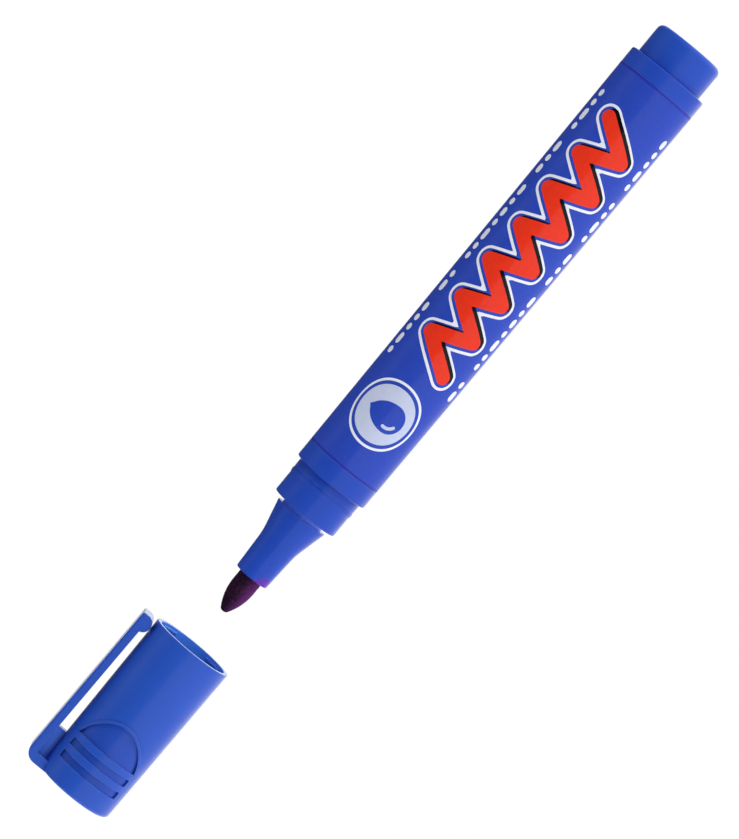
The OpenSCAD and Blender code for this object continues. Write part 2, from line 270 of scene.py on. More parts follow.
@dataclass(frozen=True)
class MouldedPlastic(Finish):
    """Polypropylene coloured in the mass and moulded in a steel tool.

    The eye gets an even, slightly waxy colour, a gloss that follows the tool's polish or its spark-eroded grain,
    soft edges, because moulded corners are never quite sharp, and a painted shading in hollows. Use leaves fine
    rubbing along the piece, and the outer edges are paler, partly wear and partly a painted highlight.
    """

    colour: str
    flow_colour: str
    # Painted shading in hollows: a darker colour stands in for their shade, a lighter one for light there.
    hollow_shading_colour: str
    gloss: Span
    grain_mm: float
    grain_depth_mm: float
    grain_strength: float = 1.0
    flow_mm: float = 9.0
    polish_mm: float = 3.0
    edge_mm: float = 0.2
    hollow_mm: float = 1.4
    hollow_to_open: Span = (0.7, 1.0)
    rays: int = 6
    rub_mm: float = 0.35
    rub_stretch: float = 14.0
    rub_span: Span = (0.58, 0.74)
    rub_gain: float = 0.08
    # Pale colour of outer edges: partly wear, partly a painted highlight.
    wear_highlight_colour: str = "#7CA6EA"
    wear_highlight: float = 0.45
    wear_highlight_turn: Span = (0.985, 0.8)
    wear_highlight_open: Span = (0.93, 1.0)
    wear_highlight_mm: float = 2.2
    wear_highlight_span: Span = (0.35, 0.6)
    wear_highlight_shares: Span = (0.45, 1.0)
    ior: float = 1.2
    skin: float = 1.0
    skin_ior: float = 1.2
    skin_roughness: float = 0.22

    def surface(self, tree: Tree) -> Socket:
        """Adds the plastic's nodes.

        Args:
            tree: Node tree of the material.

        Returns:
            The shader output.
        """
        place = position(tree)
        grain = noise(tree, place, self.grain_mm, Octaves.SOFT)
        edge = add(tree, "ShaderNodeBevel", {"Radius": self.edge_mm * MM}, samples=self.rays).outputs["Normal"]
        reach = {"Distance": self.hollow_mm * MM}
        room = add(tree, "ShaderNodeAmbientOcclusion", reach, samples=self.rays, only_local=True).outputs["AO"]
        clean = self.tint(tree, place, room)
        shader = add(
            tree,
            "ShaderNodeBsdfPrincipled",
            {
                "Base Color": self.worn_and_highlit(tree, place, edge, room, self.with_stains_and_painted_light(tree, place, clean)),
                "Roughness": self.polish(tree, place),
                "Normal": relief(tree, grain, self.grain_depth_mm, self.grain_strength, Normal=edge),
                "IOR": self.ior,
                "Coat Weight": self.skin,
                "Coat IOR": self.skin_ior,
                "Coat Roughness": self.skin_roughness,
                "Coat Normal": edge,
            },
        )
        return shader.outputs["BSDF"]

    def tint(self, tree: Tree, place: Socket, room: Socket) -> Socket:
        """Colour with the melt's faint flow clouds, and a painted shading in hollows.

        Args:
            tree: Node tree of the material.
            place: Position on the piece.
            room: How open the place is, 1 where nothing of the piece stands near it.

        Returns:
            The colour of the clean plastic.
        """
        flow = noise(tree, place, self.flow_mm, Octaves.FINE)
        body = blend(tree, flow, self.colour, self.flow_colour)
        # Painted shading: places near other faces of the piece take the hollow shading colour.
        return blend(tree, ramp(tree, room, self.hollow_to_open, FALLING), body, self.hollow_shading_colour)

    def polish(self, tree: Tree, place: Socket) -> Socket:
        """Roughness of the tool's polish, with fine rubbing along the piece.

        Args:
            tree: Node tree of the material.
            place: Position on the piece.

        Returns:
            The roughness.
        """
        clouds = noise(tree, place, self.polish_mm, Octaves.SOFT)
        rubs = noise(tree, drawn_out(tree, place, self.rub_stretch), self.rub_mm, Octaves.FINE)
        base = ramp(tree, clouds, MOST_NOISE, self.gloss)
        return combine(tree, "ADD", base, ramp(tree, rubs, self.rub_span, (0.0, self.rub_gain)))

    def with_stains_and_painted_light(self, tree: Tree, place: Socket, colour: Socket) -> Socket:
        """Colour with stains and painted light added, which on clean plastic is its own."""
        return colour

    def worn_and_highlit(self, tree: Tree, place: Socket, edge: Socket, room: Socket, colour: Socket) -> Socket:
        """Pales the colour along outer edges, partly wear and partly a painted highlight where the edges catch the
        light.

        Args:
            tree: Node tree of the material.
            place: Position on the piece.
            edge: Normal with rounded edges.
            room: How open the place is, 1 where nothing of the piece stands near it.
            colour: Colour before the pale edges.

        Returns:
            The colour with pale edges.
        """
        flat = add(tree, "ShaderNodeNewGeometry").outputs["Normal"]
        turn = add(tree, "ShaderNodeVectorMath", {0: edge, 1: flat}, operation="DOT_PRODUCT").outputs["Value"]
        near = ramp(tree, turn, self.wear_highlight_turn, (0.0, self.wear_highlight))
        outer = ramp(tree, room, self.wear_highlight_open)
        rub_and_highlight = ramp(tree, noise(tree, place, self.wear_highlight_mm, Octaves.FINE), self.wear_highlight_span, self.wear_highlight_shares)
        share = combine(tree, "MULTIPLY", combine(tree, "MULTIPLY", near, outer), rub_and_highlight)
        # Painted highlight along outer edges, broken up by noise like rubbing.
        return blend(tree, share, colour, self.wear_highlight_colour)


@dataclass(frozen=True)
class InkStainedPlastic(MouldedPlastic):
    """Moulded polypropylene with ink that has crept out of the nib's seat and dried on the nose's lower front."""

    stain: str = "#6F2BB0"
    front_x: float = 0.0
    axis_z: float = 0.0
    creep_mm: float = 2.6
    drop_mm: float = 3.4
    climb_mm: float = 0.6
    ragged_mm: float = 1.1
    soak_span: Span = (0.66, 0.95)
    soak: float = 0.85

    def with_stains_and_painted_light(self, tree: Tree, place: Socket, colour: Socket) -> Socket:
        """Mixes the ink in, most at the front rim and on the lower side.

        Args:
            tree: Node tree of the material.
            place: Position on the piece.
            colour: Colour of the clean plastic.

        Returns:
            The stained colour.
        """
        at = add(tree, "ShaderNodeSeparateXYZ", {0: place}).outputs
        creep = (self.front_x, self.front_x + self.creep_mm * MM)
        rise = (self.axis_z - self.drop_mm * MM, self.axis_z + self.climb_mm * MM)
        wet = combine(tree, "MULTIPLY", ramp(tree, at["X"], creep, FALLING), ramp(tree, at["Z"], rise, FALLING))
        patch = combine(tree, "ADD", wet, noise(tree, place, self.ragged_mm, Octaves.RAGGED))
        return blend(tree, ramp(tree, patch, self.soak_span, (0.0, self.soak)), colour, self.stain)


class Measure(Enum):
    """What finds a place on the cap: lengths in millimetres, and how far a face is turned one way, from -1 to 1."""

    DEPTH = "depth under the round outside"
    FROM_END = "distance from the closed end"
    FROM_MOUTH = "distance from the mouth, below 0 inside"
    HEIGHT = "height above the axis"
    ASIDE = "distance from the middle plane"
    AHEAD = "turn towards the mouth"


@dataclass(frozen=True)
class Zone:
    """A place on the cap with a colour of painted light and shade, where every measure has gone over its span."""

    colour: str
    share: float
    limits: tuple[tuple[Measure, Span], ...]


@dataclass(frozen=True)
class GripPlastic(MouldedPlastic):
    """Moulded polypropylene of the cap, satin outside, with a sunk grip that was spark-eroded in the tool.

    The grip's floors are painted darker, a painted shade. The bore, the clip's thin web and the lower ends of the
    grip are painted lighter, a painted light. The faces at the mouth are paler, a painted highlight.
    """

    end_x: float = 0.0
    mouth_x: float = 0.0
    axis_z: float = 0.0
    end_r_mm: float = 8.01
    mouth_r_mm: float = 8.35
    # Painted shade: the grip's recess floors are coloured darker than the cap's outside.
    floor_shade: Zone = Zone(
        "#2952BE",
        share=1.0,
        limits=(
            (Measure.DEPTH, (0.18, 0.3)),
            (Measure.DEPTH, (0.6, 0.45)),
            (Measure.FROM_END, (2.0, 2.6)),
        ),
    )
    # Painted light: the bore just inside the mouth is coloured lighter.
    bore_light: Zone = Zone(
        "#4A8CF4",
        share=1.0,
        limits=(
            (Measure.DEPTH, (0.45, 0.6)),
            (Measure.FROM_MOUTH, (-12.0, -8.0)),
        ),
    )
    # Painted highlight: the faces at the mouth are coloured pale.
    rim: Zone = Zone(
        "#BCD3FB",
        share=0.6,
        limits=(
            (Measure.AHEAD, (0.8, 0.95)),
            (Measure.DEPTH, (0.88, 0.84)),
            (Measure.FROM_MOUTH, (-1.0, -0.98)),
        ),
    )
    # Painted light: the clip's set-back web is coloured lighter.
    web_light: Zone = Zone(
        "#4480F0",
        share=1.0,
        limits=(
            (Measure.ASIDE, (1.4, 1.2)),
            (Measure.HEIGHT, (8.2, 9.0)),
            (Measure.HEIGHT, (10.9, 10.7)),
            (Measure.FROM_END, (0.8, 1.0)),
            (Measure.FROM_END, (9.0, 8.6)),
        ),
    )
    # Painted light over the shadow at the lower ends of the grip's floors.
    lower_end_light: Zone = Zone(
        "#2E62E2",
        share=1.0,
        limits=(
            (Measure.HEIGHT, (-6.05, -6.35)),
            (Measure.DEPTH, (0.05, 0.15)),
            (Measure.DEPTH, (0.6, 0.45)),
            (Measure.FROM_END, (2.0, 2.6)),
            (Measure.FROM_MOUTH, (-10.0, -11.0)),
        ),
    )

    def with_stains_and_painted_light(self, tree: Tree, place: Socket, colour: Socket) -> Socket:
        """Paints light and shade into the places of the cap that the zones find.

        Args:
            tree: Node tree of the material.
            place: Position on the piece.
            colour: Colour of the clean plastic.

        Returns:
            The colour with these places.
        """
        found = self.measures(tree, place)
        for zone in (self.floor_shade, self.bore_light, self.rim, self.web_light, self.lower_end_light):
            share = zone.share
            for measure, span in zone.limits:
                share = combine(tree, "MULTIPLY", share, ramp(tree, found[measure], span))
            colour = blend(tree, share, colour, zone.colour)
        return colour

    def measures(self, tree: Tree, place: Socket) -> dict[Measure, Socket]:
        """Works out every measure of a point on the cap.

        Args:
            tree: Node tree of the material.
            place: Position on the piece.

        Returns:
            The value of each measure.
        """
        end, mouth = self.end_x / MM, self.mouth_x / MM
        in_mm = add(tree, "ShaderNodeVectorMath", {0: place, 1: (1 / MM, 1 / MM, 1 / MM)}, operation="MULTIPLY")
        at = add(tree, "ShaderNodeSeparateXYZ", {0: in_mm.outputs["Vector"]}).outputs
        height = combine(tree, "SUBTRACT", at["Z"], self.axis_z / MM)
        squares = [combine(tree, "POWER", side, 2.0) for side in (at["Y"], height)]
        radius = combine(tree, "POWER", combine(tree, "ADD", *squares), 0.5)
        outside = ramp(tree, at["X"], (end, mouth), (self.end_r_mm, self.mouth_r_mm))
        normal = add(tree, "ShaderNodeNewGeometry").outputs["True Normal"]
        return {
            Measure.DEPTH: combine(tree, "SUBTRACT", outside, radius),
            Measure.FROM_END: combine(tree, "SUBTRACT", at["X"], end),
            Measure.FROM_MOUTH: combine(tree, "SUBTRACT", at["X"], mouth),
            Measure.HEIGHT: height,
            Measure.ASIDE: combine(tree, "ABSOLUTE", at["Y"], 0.0),
            Measure.AHEAD: add(tree, "ShaderNodeSeparateXYZ", {0: normal}).outputs["X"],
        }


@dataclass(frozen=True)
class PrintedFilm(Finish):
    """Thin polypropylene film printed in solid colour and varnished.

    The eye gets a deep, slightly uneven ink under a clear gloss, and the faint waves of a film drawn over a tube.
    """

    colour: str
    thin_colour: str
    gloss: Span = (0.14, 0.22)
    mottle_mm: float = 0.9
    wave_mm: float = 7.0
    wave_depth_mm: float = 0.004
    wave_strength: float = 0.6
    ior: float = 1.3

    def surface(self, tree: Tree) -> Socket:
        """Adds the film's nodes.

        Args:
            tree: Node tree of the material.

        Returns:
            The shader output.
        """
        place = position(tree)
        mottle = noise(tree, place, self.mottle_mm, Octaves.FINE)
        wave = noise(tree, place, self.wave_mm, Octaves.SMOOTH)
        shader = add(
            tree,
            "ShaderNodeBsdfPrincipled",
            {
                "Base Color": blend(tree, mottle, self.colour, self.thin_colour),
                "Roughness": ramp(tree, wave, MOST_NOISE, self.gloss),
                "Normal": relief(tree, wave, self.wave_depth_mm, self.wave_strength),
                "IOR": self.ior,
            },
        )
        return shader.outputs["BSDF"]


@dataclass(frozen=True)
class BondedFibre(Finish):
    """Polyester fibres drawn into a rod, bonded with resin, ground to shape and soaked with ink.

    The eye gets a dark, matt, grainy surface with streaks along the rod, and a lighter colour towards the lower
    side, a painted light from below mixed with dried ink in the streaks. A fibre is about 0.03 mm thick, too fine
    to show, so a streak is several fibres wide.
    """

    colour: str
    # Second colour: painted light on the lower side, mixed into the streaks as dried ink; also the sheen's tint.
    dry_and_lit_colour: str
    axis_z: float
    radius_mm: float
    streak_mm: float = 0.22
    streak_stretch: float = 4.0
    streak_roughness: float = 0.65
    pore_mm: float = 0.3
    underlight_reach: Span = (-1.0, 0.1)
    underlight_gain: float = 0.42
    dry_and_lit_span: Span = (0.22, 0.72)
    relief_mm: float = 0.05
    relief_strength: float = 0.9
    roughness: float = 0.8
    ior: float = 1.45
    gleam: float = 0.25
    fuzz: float = 0.32
    fuzz_roughness: float = 0.5

    def surface(self, tree: Tree) -> Socket:
        """Adds the fibre's nodes.

        Args:
            tree: Node tree of the material.

        Returns:
            The shader output.
        """
        place = position(tree)
        along = drawn_out(tree, place, self.streak_stretch)
        streak = noise(tree, along, self.streak_mm, Octaves.RAGGED, Roughness=self.streak_roughness)
        grain = combine(tree, "MULTIPLY", streak, noise(tree, place, self.pore_mm, Octaves.FINE))
        height = add(tree, "ShaderNodeSeparateXYZ", {0: place}).outputs["Z"]
        # Painted light from below: the rod's colour turns lighter towards its lower side.
        low, high = (self.axis_z + share * self.radius_mm * MM for share in self.underlight_reach)
        dry_and_lit = combine(tree, "ADD", grain, ramp(tree, height, (low, high), (self.underlight_gain, 0.0)))
        shader = add(
            tree,
            "ShaderNodeBsdfPrincipled",
            {
                "Base Color": blend(tree, ramp(tree, dry_and_lit, self.dry_and_lit_span), self.colour, self.dry_and_lit_colour),
                "Roughness": self.roughness,
                "Normal": relief(tree, grain, self.relief_mm, self.relief_strength),
                "IOR": self.ior,
                "Specular IOR Level": self.gleam,
                "Sheen Weight": self.fuzz,
                "Sheen Roughness": self.fuzz_roughness,
                "Sheen Tint": linear(self.dry_and_lit_colour),
            },
        )
        return shader.outputs["BSDF"]


@dataclass(frozen=True)
class LightTable(Finish):
    """Opal acrylic sheet over a lamp, as product photographs on plain white are taken on.

    The sheet spreads the lamp's light, so the object is lit softly from below too. The camera and the gloss see an
    even white, in which part of the object's shadow is left near it.
    """

    colour: str
    passed: float
    glow_near: float
    near_m: float = 0.1
    far_m: float = 0.4
    squeeze: float = 0.6

    def surface(self, tree: Tree) -> Socket:
        """Adds the sheet's nodes.

        Args:
            tree: Node tree of the material.

        Returns:
            The shader output.
        """
        inputs = {0: position(tree), 1: (self.squeeze, 1.0, 1.0)}
        oval = add(tree, "ShaderNodeVectorMath", inputs, operation="MULTIPLY").outputs["Vector"]
        far = add(tree, "ShaderNodeVectorMath", {0: oval}, operation="LENGTH").outputs["Value"]
        reach, shares = (self.near_m, self.far_m), (self.glow_near, 1.0)
        glow = ramp(tree, far, reach, shares, interpolation_type="SMOOTHSTEP")
        path = add(tree, "ShaderNodeLightPath").outputs
        seen = combine(tree, "MAXIMUM", path["Is Camera Ray"], path["Is Glossy Ray"])
        seen = combine(tree, "MAXIMUM", seen, path["Is Transmission Ray"])
        top = add(tree, "ShaderNodeBsdfDiffuse", {"Color": linear(self.colour)}).outputs["BSDF"]
        through = add(tree, "ShaderNodeBsdfTranslucent", {"Color": linear(self.colour)}).outputs["BSDF"]
        white = add(tree, "ShaderNodeEmission", {"Color": linear(WHITE), "Strength": 1.0}).outputs["Emission"]
        sheet = add(tree, "ShaderNodeMixShader", {0: self.passed, 1: top, 2: through}).outputs["Shader"]
        share = combine(tree, "MULTIPLY", seen, glow)
        return add(tree, "ShaderNodeMixShader", {0: share, 1: sheet, 2: white}).outputs["Shader"]


@dataclass(frozen=True)
class LitPanel(Finish):
    """Front cloth of a softbox, seen only as a band in the gloss."""

    strength: float

    def surface(self, tree: Tree) -> Socket:
        """Adds the cloth's nodes.

        Args:
            tree: Node tree of the material.

        Returns:
            The shader output.
        """
        lit = add(tree, "ShaderNodeEmission", {"Color": linear(WHITE), "Strength": self.strength})
        return lit.outputs["Emission"]


def dress(node: str, finish: Finish) -> Material:
    """Gives a piece of the frame its finish.

    Args:
        node: Name of the piece.
        finish: Finish to make and assign.

    Returns:
        The new material.
    """
    made = finish.material()
    for slot in frame["nodes"][node].material_slots:
        slot.material = made
    LOG.info("%s: %s", node, made.name)
    return made


def solid(
    name: str, points: Sequence[Vector | Place], faces: Sequence[Sequence[int]], material: Material
) -> bpy.types.Object:
    """Puts a mesh into the scene, smooth but for its sharp edges.

    Args:
        name: Name of the new object.
        points: Its vertices.
        faces: Its faces, by vertex number.
        material: Its material.

    Returns:
        The new object.
    """
    mesh = bpy.data.meshes.new(name)
    mesh.from_pydata(points, [], faces)
    mesh.shade_smooth()
    mesh.set_sharp_from_angle(angle=SHARP_ANGLE)
    mesh.materials.append(material)
    made = bpy.data.objects.new(name, mesh)
    bpy.context.scene.collection.objects.link(made)
    return made


@dataclass(frozen=True)
class Motif:
    """A flat shape on the unrolled sleeve, made of round-ended strokes.

    Each stroke is a chain of dots. A dot is a distance along the sleeve, one round it, and half the stroke's width.
    The grid that cuts the shape up starts a margin of cells outside it. No outline comes closer to a corner of the
    grid than the least share of a side, and a corner right on the outline counts as just outside.
    """

    margin: ClassVar[float] = 0.7
    least_share: ClassVar[float] = 0.03
    just_outside: ClassVar[float] = 1e-9
    strokes: tuple[tuple[Dot, ...], ...]

    def grown(self, by: float) -> "Motif":
        """The same shape with wider strokes."""
        wider = (tuple((s, t, h + by) for s, t, h in chain) for chain in self.strokes)
        return replace(self, strokes=tuple(wider))

    def moved(self, along: float, around: float) -> "Motif":
        """The same shape in another place."""
        shifted = (tuple((s + along, t + around, h) for s, t, h in chain) for chain in self.strokes)
        return replace(self, strokes=tuple(shifted))

    def distance(self, along: float, around: float) -> float:
        """Distance from a point to the shape's outline, below zero inside.

        Args:
            along: Point's distance along the sleeve.
            around: Point's distance round the sleeve.

        Returns:
            The distance.
        """
        nearest = math.inf
        for chain in self.strokes:
            for (s1, t1, h1), (s2, t2, h2) in zip(chain, chain[1:] or chain):
                run, rise = s2 - s1, t2 - t1
                square = run * run + rise * rise
                share = ((along - s1) * run + (around - t1) * rise) / square if square else 0.0
                share = min(1.0, max(0.0, share))
                gap = math.hypot(along - s1 - share * run, around - t1 - share * rise) - h1 - share * (h2 - h1)
                nearest = min(nearest, gap)
        return nearest

    def cells(self, size: float) -> Iterator[list[tuple[tuple, Flat]]]:
        """Cuts the shape into cells of a square grid, with slanted cells along its outline.

        Args:
            size: Side of a cell.

        Yields:
            The corners of a cell in order, each as a key that neighbours share and a place.
        """
        dots = [dot for chain in self.strokes for dot in chain]
        left = min(s - h for s, _, h in dots) - self.margin * size
        low = min(t - h for _, t, h in dots) - self.margin * size
        columns = math.ceil((max(s + h for s, _, h in dots) - left) / size) + 1
        rows = math.ceil((max(t + h for _, t, h in dots) - low) / size) + 1
        spots = {(i, j): (left + i * size, low + j * size) for i in range(columns + 1) for j in range(rows + 1)}
        depth = {key: self.distance(*spot) or self.just_outside for key, spot in spots.items()}
        for i in range(columns):
            for j in range(rows):
                ring = [(i, j), (i + 1, j), (i + 1, j + 1), (i, j + 1)]
                outline = []
                for a, b in zip(ring, ring[1:] + ring[:1]):
                    if depth[a] < 0:
                        outline.append((a, spots[a]))
                    if (depth[a] < 0) != (depth[b] < 0):
                        share = max(self.least_share, depth[a] / (depth[a] - depth[b]))
                        share = min(1 - self.least_share, share)
                        (s1, t1), (s2, t2) = spots[a], spots[b]
                        crossing = (s1 + share * (s2 - s1), t1 + share * (t2 - t1))
                        outline.append(((min(a, b), max(a, b)), crossing))
                if len(outline) > 2:
                    yield outline


@dataclass(frozen=True)
class Taper:
    """The sleeve's outside: a round surface along X that widens evenly towards the rear."""

    end_band: ClassVar[float] = 0.05 * MM
    front_x: float
    rear_x: float
    front_r: float
    rear_r: float
    wall: float
    axis_z: float

    @classmethod
    def of_node(cls, node: str, axis_z: float) -> "Taper":
        """Measures a node of the frame.

        Args:
            node: Name of the node.
            axis_z: Height of the pen's axis.

        Returns:
            Its taper.
        """
        low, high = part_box(node)
        spots = [(v.co.x, math.hypot(v.co.y, v.co.z - axis_z)) for v in frame["nodes"][node].data.vertices]
        front = [r for x, r in spots if x < low.x + cls.end_band]
        rear = [r for x, r in spots if x > high.x - cls.end_band]
        return cls(low.x, high.x, max(front), max(rear), max(front) - min(front), axis_z)

    def point(self, along: float, around: float, lift: float) -> Vector:
        """Places a point of the print.

        Args:
            along: Millimetres from the front end.
            around: Millimetres round the sleeve, upwards from the viewer's side.
            lift: Millimetres above the surface.

        Returns:
            The point in the frame.
        """
        share = along * MM / (self.rear_x - self.front_x)
        radius = self.front_r + (self.rear_r - self.front_r) * share + lift * MM
        turn = around * MM / self.middle_r()
        return Vector((self.front_x + along * MM, -radius * math.cos(turn), self.axis_z + radius * math.sin(turn)))

    def length(self) -> float:
        """Length of the sleeve in millimetres."""
        return (self.rear_x - self.front_x) / MM

    def middle_r(self) -> float:
        """Radius half-way along the sleeve."""
        return (self.front_r + self.rear_r) / 2

    def girth(self) -> float:
        """Millimetres round the sleeve, half-way along it."""
        return 2 * math.pi * self.middle_r() / MM


@dataclass
class Sleeve:
    """The printed sleeve: its film, the film's cut edges, and a generic print of a scribble, a badge and marks."""

    axis_z: float
    film: PrintedFilm = PrintedFilm("varnished_blue_film", "#2C4ABA", "#3250C2")
    # Dark edge colour: painted shade in the grooves beside the collars, and the film's overlap seam.
    edge: PrintedFilm = PrintedFilm("cut_film_edge", "#2A28A4", "#3430B0", gloss=(0.4, 0.5))
    red: PrintedFilm = PrintedFilm("red_print", "#F2341C", "#FA3E24")
    black: PrintedFilm = PrintedFilm("black_print", "#07070E", "#101018")
    white: PrintedFilm = PrintedFilm("white_print", "#FBFCFF", "#F2F5FF")
    pale: PrintedFilm = PrintedFilm("pale_blue_print", "#D6DEF4", "#CAD4EE")
    scribble_from: float = 24.2
    scribble_pitch: float = 4.25
    scribble_lean: float = 1.1
    scribble_tops: tuple[float, ...] = (4.3, 4.0, 4.5, 4.1, 4.4, 4.2, 4.0)
    scribble_feet: tuple[float, ...] = (-3.6, -3.9, -3.5, -3.8, -3.6, -3.9, -3.5)
    scribble_half: float = 1.35
    inset: float = 0.6
    keyline: float = 0.55
    shadow: Flat = (0.55, -0.45)
    badge_at: Flat = (12.2, 0.6)
    badge_r: float = 7.0
    badge_inset: float = 0.5
    badge_ground: float = 1.2
    drop_foot: float = -1.3
    drop_tall: float = 4.9
    drop_half: float = 2.8
    drop_tip: float = 0.12
    drop_curve: float = 1.2
    drop_steps: int = 12
    glint_r: float = 1.85
    glint_turn: Span = (170.0, 240.0)
    glint_half: float = 0.32
    mark_half: float = 0.75
    mark_gap: float = 0.75
    mark_rows: tuple[Flat, ...] = ((9.35, 21.3), (-8.75, 21.3))
    mark_words: tuple[tuple[float, ...], ...] = (
        (1.5, 2.4, 1.5, 1.5, 2.0),
        (2.4, 1.5),
        (1.5, 1.5, 2.6, 1.5, 2.0, 1.5, 2.4),
        (2.0, 1.5, 2.4),
        (1.5, 2.6, 1.5, 1.5),
    )
    word_gap: float = 2.2
    edge_in: float = 0.16
    edge_out: float = 0.22
    edge_drop: float = 0.03
    edge_lift: float = 0.005
    seam_w: float = 0.3
    seam_lift: float = 0.01
    seam_end: float = 0.2
    seam_steps: int = 60
    cell: float = 0.42
    fine_cell: float = 0.2
    sink: float = 0.02
    taper: Taper = field(init=False)

    def __post_init__(self) -> None:
        """Measures the sleeve in the frame."""
        self.taper = Taper.of_node("label_sleeve", self.axis_z)

    def build(self) -> None:
        """Dresses the film, closes its cut edges and lays the print on it."""
        inks = {self.film: dress("label_sleeve", self.film)}
        inks |= {ink: ink.material() for ink in (self.edge, self.red, self.black, self.white, self.pale)}
        self.close_edges(inks[self.edge])
        self.close_seam(inks[self.edge])
        self.lay_scribble(inks)
        self.lay_badge(inks)
        self.lay_marks(inks)

    def close_edges(self, dark: Material) -> None:
        """Builds the film's two cut edges as dark rings, partly the film's dark edge and partly a painted shade of
        the grooves beside the collars.

        Args:
            dark: Their material.
        """
        wall, length = self.taper.wall / MM, self.taper.length()
        for name, inner, outer in (
            ("film_edge_front", self.edge_in, -self.edge_out),
            ("film_edge_rear", length - self.edge_in, length + self.edge_out),
        ):
            profile = [(inner, -wall), (outer, -wall), (outer, -self.edge_drop), (inner, self.edge_lift)]
            if outer > inner:
                profile.reverse()
            # Dark ring: painted shade of the groove beside the collar.
            self.ring(name, profile, dark)

    def close_seam(self, dark: Material) -> None:
        """Builds the lengthwise edge where the film overlaps itself, on the side turned from the badge.

        Args:
            dark: Its material.
        """
        back = self.taper.girth() / 2
        run = self.taper.length() - self.seam_end - self.seam_end
        flat = [
            (self.seam_end + run * i / self.seam_steps, back + side * self.seam_w / 2)
            for i in range(self.seam_steps + 1)
            for side in (-1, 1)
        ]
        faces = [[2 * i, 2 * i + 2, 2 * i + 3, 2 * i + 1] for i in range(self.seam_steps)]
        self.raise_film("film_seam", flat, faces, self.seam_lift, dark)

    def ring(self, name: str, profile: Sequence[Flat], material: Material, count: int = 120) -> None:
        """Turns a closed profile round the pen and lets the ring ride on it.

        Args:
            name: Name of the piece.
            profile: Points along the sleeve and above its surface, in millimetres.
            material: Its material.
            count: Steps round the pen.
        """
        girth, size = self.taper.girth(), len(profile)
        points = [self.taper.point(s, girth * i / count, lift) for i in range(count) for s, lift in profile]
        faces = []
        for i in range(count):
            here, there = i * size, (i + 1) % count * size
            for k in range(size):
                after = (k + 1) % size
                faces.append((here + k, here + after, there + after, there + k))
        self.fix(solid(name, points, faces, material))

    def scribble(self) -> Motif:
        """Draws the zigzag, as a marker leaves it.

        Returns:
            Its shape.
        """
        dots, half = [], self.scribble_half
        for number, (foot, top) in enumerate(zip(self.scribble_feet, self.scribble_tops)):
            at = self.scribble_from + 2 * self.scribble_pitch * number
            dots += [(at, foot, half), (at + self.scribble_pitch + self.scribble_lean, top, half)]
        return Motif((tuple(dots),))

    def lay_scribble(self, inks: dict[PrintedFilm, Material]) -> None:
        """Lays the scribble: keyline, inset, shadow and colour.

        Args:
            inks: Material of each ink.
        """
        drawn = self.scribble()
        inset, keyline = drawn.grown(self.inset), drawn.grown(self.inset + self.keyline)
        self.patch("print_scribble_keyline", keyline, Layer.GROUND, inks[self.white])
        self.patch("print_scribble_inset", inset, Layer.INSET, inks[self.film])
        self.patch("print_scribble_shadow", drawn.moved(*self.shadow), Layer.SHADE, inks[self.black])
        self.patch("print_scribble_colour", drawn, Layer.COLOUR, inks[self.red])

    def drop(self) -> Motif:
        """Draws the badge's drop of ink, round below and pointed above.

        Returns:
            Its shape.
        """
        s, foot = self.badge_at[0], self.badge_at[1] + self.drop_foot
        dots = []
        for step in range(self.drop_steps + 1):
            share = step / self.drop_steps
            half = self.drop_tip + self.drop_half * math.cos(math.pi / 2 * share) ** self.drop_curve
            dots.append((s, foot + self.drop_tall * share, half))
        return Motif((tuple(dots),))

    def glint(self) -> Motif:
        """Draws the curved glint in the drop.

        Returns:
            Its shape.
        """
        s, foot = self.badge_at[0], self.badge_at[1] + self.drop_foot
        first, last = self.glint_turn
        dots = []
        for step in range(self.drop_steps + 1):
            turn = math.radians(first + (last - first) * (step / self.drop_steps))
            dots.append((s + self.glint_r * math.cos(turn), foot + self.glint_r * math.sin(turn), self.glint_half))
        return Motif((tuple(dots),))

    def lay_badge(self, inks: dict[PrintedFilm, Material]) -> None:
        """Lays the round badge with its drop of ink.

        Args:
            inks: Material of each ink.
        """
        disc = Motif((((*self.badge_at, self.badge_r),),))
        inset, ground = disc.grown(-self.badge_inset), disc.grown(-self.badge_ground)
        self.patch("print_badge_keyline", disc, Layer.GROUND, inks[self.white])
        self.patch("print_badge_inset", inset, Layer.INSET, inks[self.film])
        self.patch("print_badge_ground", ground, Layer.SHADE, inks[self.pale])
        self.patch("print_badge_drop", self.drop(), Layer.COLOUR, inks[self.film], self.fine_cell)
        self.patch("print_badge_glint", self.glint(), Layer.DETAIL, inks[self.pale], self.fine_cell)

    def lay_marks(self, inks: dict[PrintedFilm, Material]) -> None:
        """Lays the rows of small plain marks above and below the scribble.

        Args:
            inks: Material of each ink.
        """
        half = self.mark_half
        for number, (height, start) in enumerate(self.mark_rows):
            words = self.mark_words[number:] + self.mark_words[:number]
            chains, at = [], start
            for word in words:
                for length in word:
                    chains.append(((at + half, height, half), (at + length - half, height, half)))
                    at += length + self.mark_gap
                at += self.word_gap
            name, marks = f"print_marks_{number + 1}", Motif(tuple(chains))
            self.patch(name, marks, Layer.GROUND, inks[self.white], self.fine_cell)

    def patch(self, name: str, motif: Motif, layer: Layer, ink: Material, cell: float | None = None) -> None:
        """Makes one closed patch of ink that follows the sleeve.

        Args:
            name: Name of the piece.
            motif: Its shape on the unrolled sleeve.
            layer: Pass of ink.
            ink: Its material.
            cell: Size of its grid, if not the usual one.
        """
        number: dict[tuple, int] = {}
        flat: list[Flat] = []
        top: list[list[int]] = []
        for outline in motif.cells(cell or self.cell):
            for key, spot in outline:
                if key not in number:
                    number[key] = len(flat)
                    flat.append(spot)
            top.append([number[key] for key, _ in outline])
        self.raise_film(name, flat, top, layer.value, ink)

